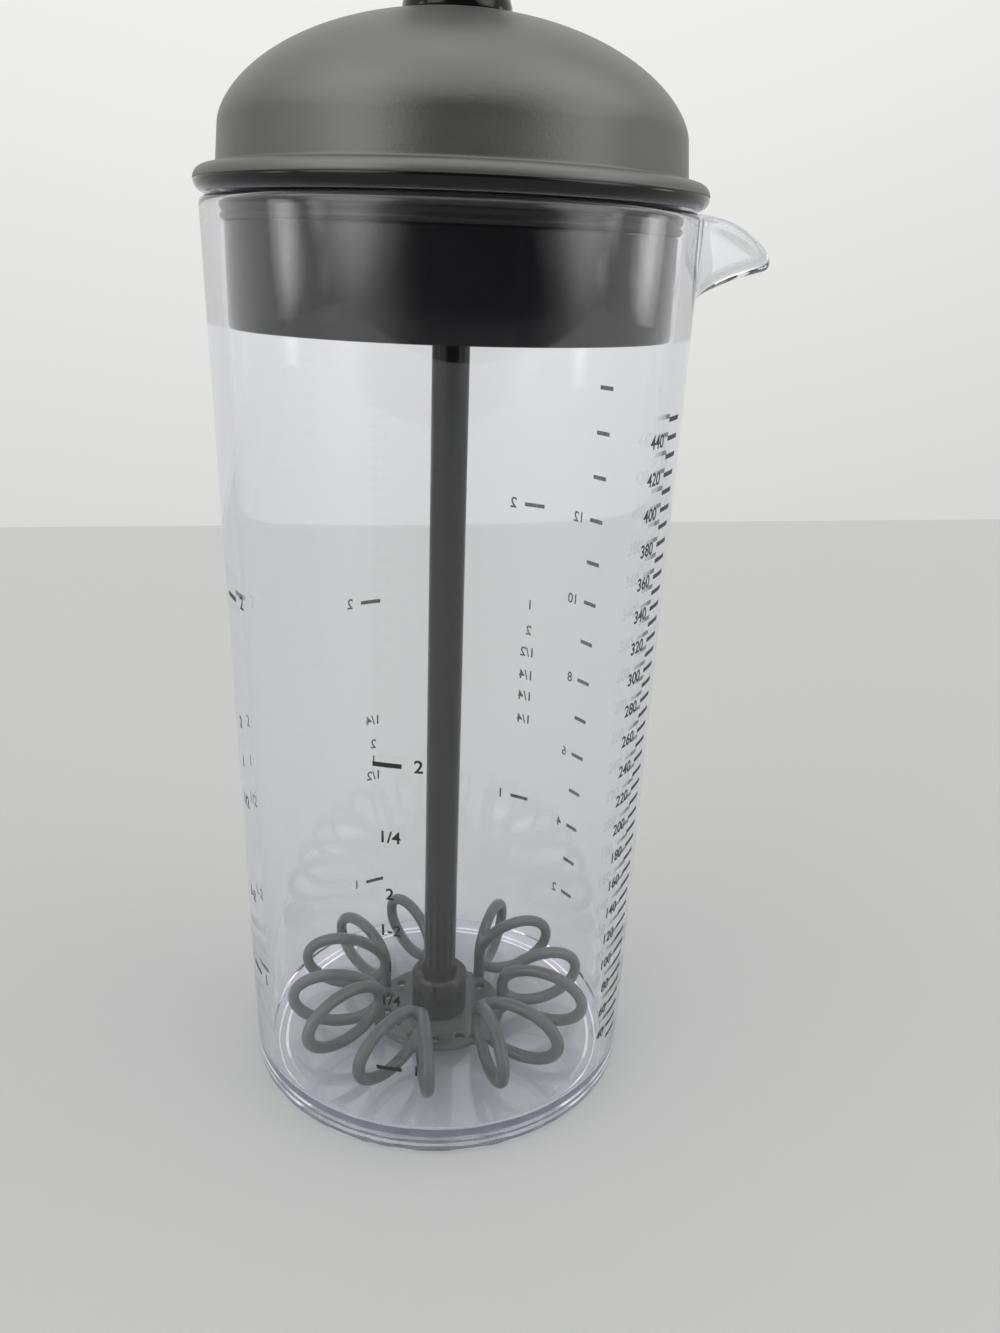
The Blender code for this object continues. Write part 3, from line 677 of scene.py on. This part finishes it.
bush = turn("crown_bush", rounded([
    (ROD_BORE, bush_high, 0.3), (neck, bush_high, 0.3), (neck, collar_high, 0.2), (collar, collar_high, 0.3),
    (collar, bush_low, 0.3), (ROD_BORE, bush_low, 0.3),
]), 72)
dress(bush, gloss_black, "lid", "gloss_black", "rod_bush")

# %% [markdown]
# The plunger is a plain polished rod. Above the crown it ends in a turned push knob, of which the
# photograph shows only the foot. Below, it stands in a round socket with a bevelled edge.

# %% Rod, knob and hub
rod_low, rod_high = heights("plunger_rod")
rod_radius, end_play = 3.2, 0.3
rod = turn("plunger_rod_shaft", rounded([
    (0, rod_high), (rod_radius, rod_high, 0.4), (rod_radius, rod_low, 0.4), (0, rod_low),
], closed=False), 96)
dress(rod, gloss_black, "plunger", "gloss_black", "plunger_rod")


def knob_section():
    """The knob's section in mm: a round head, a waisted stem and a foot with the rod's socket."""
    foot, top = heights("knob")
    foot_radius, foot_top, stem_top, stem = 8.4, foot + 1.2, foot + 9.7, 8.5
    waist, head, half_head = 7.1, 11.2, 5.75
    sweep, fullness = math.pi * 0.86, 0.7
    section = [Vector((0, top))]
    for step in range(1, 32):
        turn_by = math.pi / 2 - sweep * step / 32
        across = head * max(math.cos(turn_by), 0.0) ** fullness
        if turn_by <= 0:
            across = waist + (head - waist) * math.cos(turn_by)
        section.append(Vector((across, stem_top + half_head + half_head * math.sin(turn_by))))
    for step in range(13):
        flare = (foot_radius - waist) * (step / 12) ** 2
        section.append(Vector((waist + flare, stem_top - stem * step / 12)))
    socket_top = rod_high + end_play
    foot_corners = [
        (foot_radius, foot_top), (foot_radius, foot, 0.3), (ROD_BORE, foot, 0.2), (ROD_BORE, socket_top),
        (0, socket_top),
    ]
    section += rounded(foot_corners, closed=False)[1:]
    return section


knob = turn("push_knob", knob_section(), 128)
dress(knob, gloss_black, "plunger", "gloss_black", "knob")
hub_low, hub_high = heights("whisk_hub")
hub_radius, hub_seat, hub_pin, hub_bevel = 5.6, 5.5, 2.6, 0.7
hub = turn("whisk_hub_socket", rounded([
    (0, rod_low - end_play), (ROD_BORE, rod_low - end_play), (ROD_BORE, hub_high, 0.3),
    (hub_radius - hub_bevel, hub_high, 0.15), (hub_radius, hub_high - hub_bevel, 0.2),
    (hub_radius, hub_seat, 0.3), (hub_pin, hub_seat, 0.1), (hub_pin, hub_low, 0.2), (0, hub_low),
], closed=False), 96)
dress(hub, gloss_black, "plunger", "gloss_black", "whisk_hub")

# %% [markdown]
# The whisk is one moulding: a thin disc with drain holes and seven roots at its edge, and from each
# root two upright oval loops splay apart. One loop is a curve with a round bevel. Fourteen of them
# are joined with the roots and the disc, and remeshed, so that the joints melt together as they do
# in a moulding. The drain holes are cut after that, with round bars.

# %% The whisk
DISC_LOW = heights("whisk_head")[0]
DISC_RADIUS, DISC_BORE, DISC_THICK = 13.4, 2.9, 1.2
HOLE_PLACE = 10.7
HOLE_RADIUS = 1.0
VOXEL = 0.29
BAR = 1.2
PAIRS = 7
FIRST_PAIR = math.radians(-110.4)
SPLAY = math.radians(22.0)
ROOT = 13.0
LOOP_TALL = 10.8
LOOP_REACH = 29.7


def add_whisk_loop(root_angle, splay, long):
    """One upright oval loop that reaches out from its root."""
    bpy.ops.object.select_all(action="DESELECT")
    bpy.ops.curve.primitive_bezier_circle_add(radius=1.0)
    loop = name_new("whisk_loop")
    loop.data.resolution_u = 20
    heading = root_angle + splay
    root = Vector((ROOT * math.cos(root_angle), ROOT * math.sin(root_angle), 0.0))
    outward = Vector((math.cos(heading), math.sin(heading), 0.0))
    center = (root + outward * long / 2) * MM
    center.z = (DISC_LOW + BAR + LOOP_TALL / 2) * MM
    upright = Matrix.Rotation(heading, 4, "Z") @ Matrix.Rotation(math.pi / 2, 4, "X")
    shape = Matrix.Diagonal((long / 2 * MM, LOOP_TALL / 2 * MM, 1.0, 1.0))
    loop.data.transform(Matrix.Translation(center) @ upright @ shape)
    for point in loop.data.splines[0].bezier_points:
        point.radius = 1.0
    loop.data.bevel_depth = BAR * MM
    loop.data.bevel_resolution = 5
    bpy.ops.object.convert(target="MESH")
    return bpy.context.active_object


def add_post(radius, low, high, place_radius, angle, sides=32):
    """An upright round bar, for a root or to cut a hole."""
    bpy.ops.object.select_all(action="DESELECT")
    place = (place_radius * math.cos(angle) * MM, place_radius * math.sin(angle) * MM, (low + high) / 2 * MM)
    depth = (high - low) * MM
    bpy.ops.mesh.primitive_cylinder_add(vertices=sides, radius=radius * MM, depth=depth, location=place)
    bpy.ops.object.transform_apply(location=True, rotation=True, scale=True)
    return bpy.context.active_object


loop_long = math.sqrt(LOOP_REACH**2 - (ROOT * math.sin(SPLAY)) ** 2) - ROOT * math.cos(SPLAY)
roots = [FIRST_PAIR + math.tau * index / PAIRS for index in range(PAIRS)]
disc = turn("whisk_disc", rounded([
    (DISC_BORE, DISC_LOW + DISC_THICK), (DISC_RADIUS, DISC_LOW + DISC_THICK, 0.35),
    (DISC_RADIUS, DISC_LOW, 0.35), (DISC_BORE, DISC_LOW),
]), 120)
bars = [add_whisk_loop(angle, side * SPLAY, loop_long) for angle in roots for side in (1, -1)]
post_top = DISC_LOW + BAR + LOOP_TALL / 2
posts = [add_post(BAR, DISC_LOW + VOXEL, post_top, ROOT, angle) for angle in roots]
only(*bars, *posts, disc)
bpy.ops.object.join()
whisk = name_new("whisk_crown")
melt = whisk.modifiers.new("melt", "REMESH")
melt.mode = "VOXEL"
melt.voxel_size = VOXEL * MM
bpy.ops.object.modifier_apply(modifier=melt.name)
between = math.tau / PAIRS / 4
drills = [
    add_post(HOLE_RADIUS, DISC_LOW - 1, DISC_LOW + 2.4, HOLE_PLACE, angle + side * between, 24)
    for angle in roots for side in (1, -1)
]
only(*drills)
bpy.ops.object.join()
drill = name_new("hole_drill")
only(whisk)
holes = whisk.modifiers.new("holes", "BOOLEAN")
holes.object = drill
holes.operation = "DIFFERENCE"
holes.solver = "EXACT"
bpy.ops.object.modifier_apply(modifier=holes.name)
bpy.data.objects.remove(drill)
ease = whisk.modifiers.new("ease", "SMOOTH")
ease.factor = 0.5
ease.iterations = 3
bpy.ops.object.modifier_apply(modifier=ease.name)
soften(whisk, 60)
dress(whisk, whisk_plastic, "plunger", "whisk_plastic", "whisk_head")

# %% [markdown]
# The jar carries a printed volume scale, and level marks for filling. The print is laid out flat, as
# artwork for a screen would be: across is the angle round the jar and up is the height. Marks are
# thin plates and numbers are text, all made meshes, and then the whole sheet is wrapped round the
# taper, a hair above the wall. Only plain numbers and marks are printed.

# %% Levels of the scale
LAYOUT_RADIUS = 38.5 * MM
INK_LIFT = 0.02 * MM
INK_THICK = 0.015 * MM
FIGURE_SHARE, STROKE_GROWTH = 0.72, 0.026
ML_LEVELS = [
    (30, 11.01), (60, 19.25), (100, 30.35), (140, 41.45), (180, 52.71), (220, 63.92), (260, 75.09),
    (300, 86.22), (340, 97.07), (380, 107.95), (420, 119.22), (450, 127.88),
]


def level_of(amount, table):
    """Height in mm of an amount, between two known levels."""
    for (low, low_level), (high, high_level) in zip(table, table[1:]):
        if amount <= high:
            return low_level + (high_level - low_level) * (amount - low) / (high - low)
    return table[-1][1]


def flat_across(degrees):
    """Where an angle round the jar lies on the flat layout."""
    return math.radians(degrees) * LAYOUT_RADIUS


def add_mark(degrees, level, length=4.8, thick=0.75):
    """A flat mark on the layout, centred at an angle and a height in mm."""
    bpy.ops.object.select_all(action="DESELECT")
    bpy.ops.mesh.primitive_grid_add(x_subdivisions=6, y_subdivisions=1, size=1.0)
    mark = bpy.context.active_object
    mark.scale = (length * MM, thick * MM, 1.0)
    mark.location = (flat_across(degrees), level * MM, 0.0)
    bpy.ops.object.transform_apply(location=True, rotation=True, scale=True)
    return mark


def add_number(text, degrees, level, tall=2.1, align="RIGHT"):
    """A plain number on the layout; tall is the height of its figures in mm."""
    bpy.ops.object.select_all(action="DESELECT")
    bpy.ops.object.text_add()
    number = bpy.context.active_object
    number.data.body = text
    number.data.size = tall * MM / FIGURE_SHARE
    number.data.align_x = align
    number.data.align_y = "CENTER"
    number.data.offset = STROKE_GROWTH * tall * MM
    bpy.ops.object.convert(target="MESH")
    number = bpy.context.active_object
    number.location = (flat_across(degrees), level * MM, 0.0)
    bpy.ops.object.transform_apply(location=True, rotation=True, scale=True)
    return number


def print_on_jar(name, parts):
    """Joins flat parts, gives them a hair of thickness and wraps them round the jar."""
    only(*parts)
    bpy.ops.object.join()
    sheet = name_new(name)
    thick = sheet.modifiers.new("thickness", "SOLIDIFY")
    thick.thickness = INK_THICK
    thick.offset = 1.0
    bpy.ops.object.modifier_apply(modifier=thick.name)
    for vertex in sheet.data.vertices:
        angle = vertex.co.x / LAYOUT_RADIUS
        radius = outer_radius(vertex.co.y) + INK_LIFT + vertex.co.z
        vertex.co = (radius * math.cos(angle), radius * math.sin(angle), vertex.co.y)
    weld(sheet, 0.0000005)
    dress(sheet, ink, "jar", "clear_jar")


# %% The millilitre scale and its plain numbers
ML_MARK_TURN, ML_NUMBER_TURN, ML_NUMBER_DROP = -31.1, -37.0, 0.25
ml_marks = [add_mark(ML_MARK_TURN, level_of(amount, ML_LEVELS)) for amount in range(30, 460, 10)]
print_on_jar("print_ml_marks", ml_marks)
ml_numbers = [
    add_number(str(amount), ML_NUMBER_TURN, level_of(amount, ML_LEVELS) - ML_NUMBER_DROP)
    for amount in range(40, 460, 20)
]
print_on_jar("print_ml_numbers", ml_numbers)

# %% The ounce scale, on the far side
OZ_LEVELS = [(1, 10.4), (2, 18.5), (4, 34.9), (7, 60.19), (9, 77.09), (11, 93.9), (13, 111.05), (15, 128.15)]
OZ_MARK_TURN, OZ_NUMBER_TURN, OZ_NUMBER_DROP = 31.4, 37.0, 0.1
oz_marks = [add_mark(OZ_MARK_TURN, level_of(amount, OZ_LEVELS), 3.9, 0.8) for amount in range(2, 16)]
print_on_jar("print_oz_marks", oz_marks)
oz_numbers = [
    add_number(str(amount), OZ_NUMBER_TURN, level_of(amount, OZ_LEVELS) - OZ_NUMBER_DROP, 2.1, "LEFT")
    for amount in range(2, 14, 2)
]
print_on_jar("print_oz_numbers", oz_numbers)

# %% The filling levels
FILL_LEVELS = [
    (-107.9, 76.55, "2"), (-107.9, 18.25, "1"), (-160.9, 96.7, "2"), (-160.9, 24.0, "1"),
    (56.2, 103.15, "2"), (56.2, 37.0, "1"), (111.4, 81.55, "2"), (111.4, 15.05, "1"),
]
FILL_NUMBER_ASIDE = 6.3
fill_marks = [add_mark(degrees, level, 4.7, 0.8) for degrees, level, _ in FILL_LEVELS]
print_on_jar("print_fill_marks", fill_marks)
fill_numbers = [
    add_number(text, degrees + FILL_NUMBER_ASIDE, level, 2.2, "LEFT")
    for degrees, level, text in FILL_LEVELS
]
print_on_jar("print_fill_numbers", fill_numbers)

# %% Plain amounts between the filling levels
AMOUNT_COLUMNS = [
    (-107.4, (("1/4", 63.8), ("2", 53.3), ("1-2", 46.4), ("1", 39.3), ("1/4", 32.5))),
    (-161.0, (("2", 74.0), ("1", 66.5), ("1/2", 59.0), ("1-2", 40.0))),
    (56.0, (("1", 81.8), ("2", 76.2), ("1/2", 71.3), ("1/4", 66.1), ("1/4", 61.3), ("1/4", 55.9))),
    (111.0, (("1/4", 54.5), ("2", 48.9), ("1", 45.0), ("1/2", 41.3))),
]
for column, (degrees, amounts) in enumerate(AMOUNT_COLUMNS):
    numbers = [add_number(text, degrees, level, 2.1, "CENTER") for text, level in amounts]
    print_on_jar(f"print_amounts_{column + 1}", numbers)
